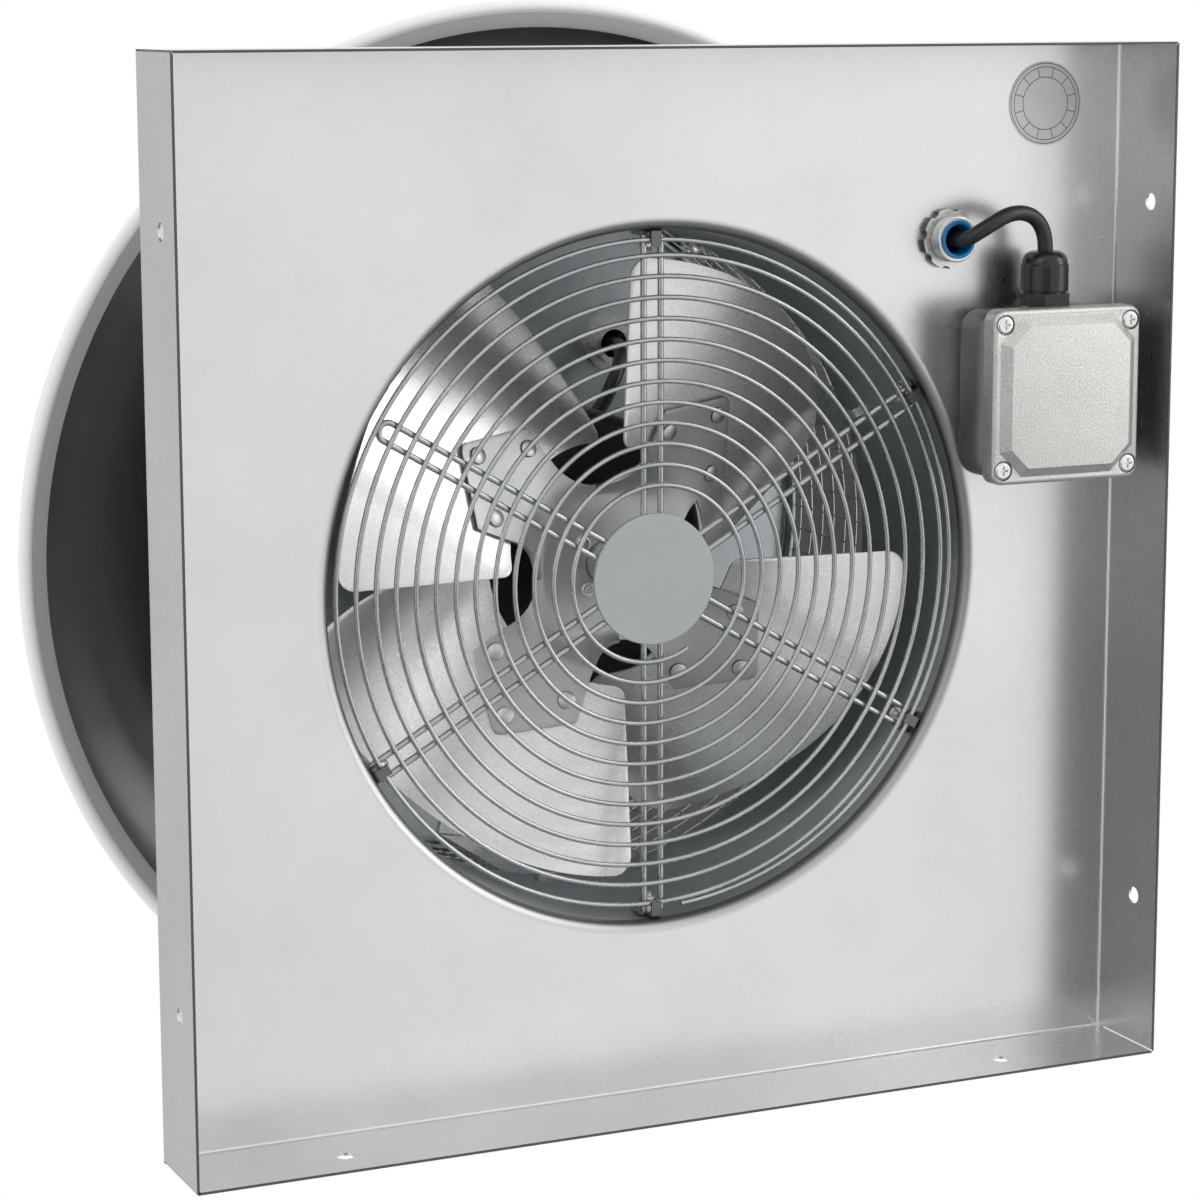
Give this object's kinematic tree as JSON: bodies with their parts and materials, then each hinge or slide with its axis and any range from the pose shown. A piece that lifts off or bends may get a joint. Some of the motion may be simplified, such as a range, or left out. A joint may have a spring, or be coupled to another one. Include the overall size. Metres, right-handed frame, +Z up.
{
  "type": "roof vent fan",
  "caption": "Hooded roof vent fan on a square curb cap, with a spiral wire guard, a four-blade propeller, a bird screen and a spun hood.",
  "frame": {"origin": "Centre of the square curb cap at the open lower edge of its flange, on the fan's axis.", "axes": "+Z up out of the roof along the fan's axis; X and Y across the flat sides of the curb cap, with the terminal box at +X, -Y."},
  "size_m": [0.5499, 0.55, 0.3306],
  "materials": {
    "galvanised_sheet": "satin galvanised sheet",
    "throat_sheet": "dull blue-grey galvanised sheet",
    "blade_sheet": "galvanised sheet with fine spangle",
    "spider_sheet": "zinc plated steel plate",
    "rivet_aluminium": "bright aluminium rivets",
    "hub_steel": "turned zinc plated steel",
    "zinc_hardware": "zinc plated screws and nuts",
    "black_hardware": "black oxide",
    "mesh_wire": "galvanised welded mesh",
    "motor_black": "semi-gloss black paint",
    "bearing_steel": "ground steel",
    "lamination_steel": "stacked laminations",
    "winding_copper": "varnished copper wire",
    "guard_wire": "grey coated wire",
    "guard_disc_paint": "smooth grey paint",
    "spun_aluminium": "spun satin aluminium",
    "zinc_casting": "die-cast zinc",
    "bushing_blue": "blue insulating bushing",
    "conduit_steel": "galvanised strip, wound",
    "lead_rubber": "black cable sheath",
    "gasket_rubber": "black rubber",
    "cast_aluminium": "sand-textured casting",
    "gland_plastic": "black nylon",
    "plain_label": "plain pale disc"
  },
  "bodies": {
    "frame": {"curb_cap": "galvanised_sheet", "throat": "throat_sheet", "support_leg_1": "galvanised_sheet", "support_leg_2": "galvanised_sheet", "support_leg_3": "galvanised_sheet", "leg_bolts": "zinc_hardware", "motor_deck": "throat_sheet", "bird_screen": "mesh_wire", "motor_shell": "motor_black", "lower_bell": "motor_black", "upper_bell": "motor_black", "lower_bearing": "bearing_steel", "upper_bearing": "bearing_steel", "stator": "lamination_steel", "windings": "winding_copper", "motor_studs": "black_hardware", "guard_spiral": "guard_wire", "guard_spokes": "guard_wire", "guard_disc": "guard_disc_paint", "guard_clips": "zinc_hardware", "clip_screws": "zinc_hardware", "hood": "spun_aluminium", "hood_posts": "zinc_hardware", "post_bolts": "zinc_hardware", "hood_nuts": "zinc_hardware", "conduit_connector": "zinc_casting", "conduit_locknut": "zinc_casting", "conduit_bushing": "bushing_blue", "conduit": "conduit_steel", "conduit_elbow": "zinc_casting", "lead": "lead_rubber", "box_body": "cast_aluminium", "box_gasket": "gasket_rubber", "box_lid": "cast_aluminium", "lid_screws": "zinc_hardware", "box_screws": "zinc_hardware", "gland_body": "gland_plastic", "gland_nut": "gland_plastic", "gland_seal": "gasket_rubber", "label_disc": "plain_label"},
    "impeller": {"hub": "hub_steel", "hub_screws": "zinc_hardware", "set_screw": "black_hardware", "spider": "spider_sheet", "blade_1": "blade_sheet", "blade_2": "blade_sheet", "blade_3": "blade_sheet", "blade_4": "blade_sheet", "rivets": "rivet_aluminium", "motor_shaft": "bearing_steel", "rotor": "lamination_steel"}
  },
  "joints": [
    {"name": "impeller_spin", "type": "hinge", "parent": "frame", "child": "impeller", "pos_m": [0, 0, 0.114], "axis": [0, 0, 1], "continuous": true}
  ]
}
